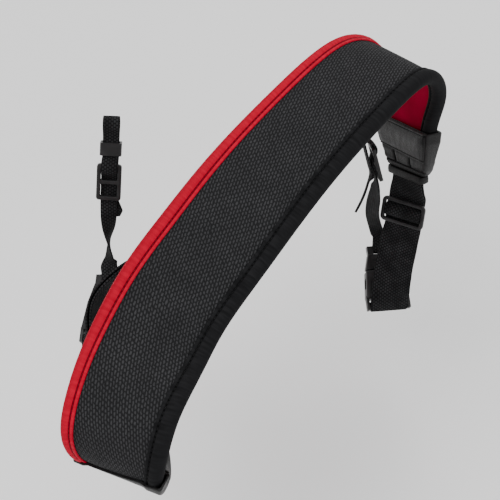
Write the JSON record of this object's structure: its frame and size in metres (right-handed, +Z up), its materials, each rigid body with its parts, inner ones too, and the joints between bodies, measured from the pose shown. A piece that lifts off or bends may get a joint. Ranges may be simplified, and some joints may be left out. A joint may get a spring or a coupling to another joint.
{
  "type": "camera neck strap",
  "caption": "Padded camera neck strap with bound edges, leather end tabs, webbing with slides, side-release buckles and looped ends for a camera's lugs.",
  "frame": {"origin": "middle of the padded band's inner face, where it sits on a neck", "axes": "+Z up out of the neck, through the band's top; the strap as seen from the picture's camera has +X to the right and +Y away; metres"},
  "size_m": [0.2255, 0.2977, 0.1928],
  "materials": {
    "textured_fabric": "dark grey basket-weave fabric",
    "red_lining": "smooth red jersey",
    "red_binding": "padded red binding with a stitched hem",
    "black_binding": "padded black binding with a stitched hem",
    "leather": "black leather, satin",
    "webbing": "black ribbed webbing",
    "plastic": "black moulded plastic, satin"
  },
  "bodies": {
    "root": {"top_panel": "textured_fabric", "lining": "red_lining", "red_binding": "red_binding", "black_binding": "black_binding", "leather_tab_left": "leather", "tab_patch_left": "leather", "keeper_band_left": "leather", "wide_webbing_left": "webbing", "narrow_webbing_left": "webbing", "slide_left": "plastic", "buckle_socket_left": "plastic", "buckle_plug_left": "plastic", "adjuster_left": "plastic", "loop_left": "plastic", "leather_tab_right": "leather", "tab_patch_right": "leather", "keeper_band_right": "leather", "wide_webbing_right": "webbing", "narrow_webbing_right": "webbing", "slide_right": "plastic", "buckle_socket_right": "plastic", "buckle_plug_right": "plastic", "adjuster_right": "plastic", "loop_right": "plastic"}
  },
  "joints": []
}
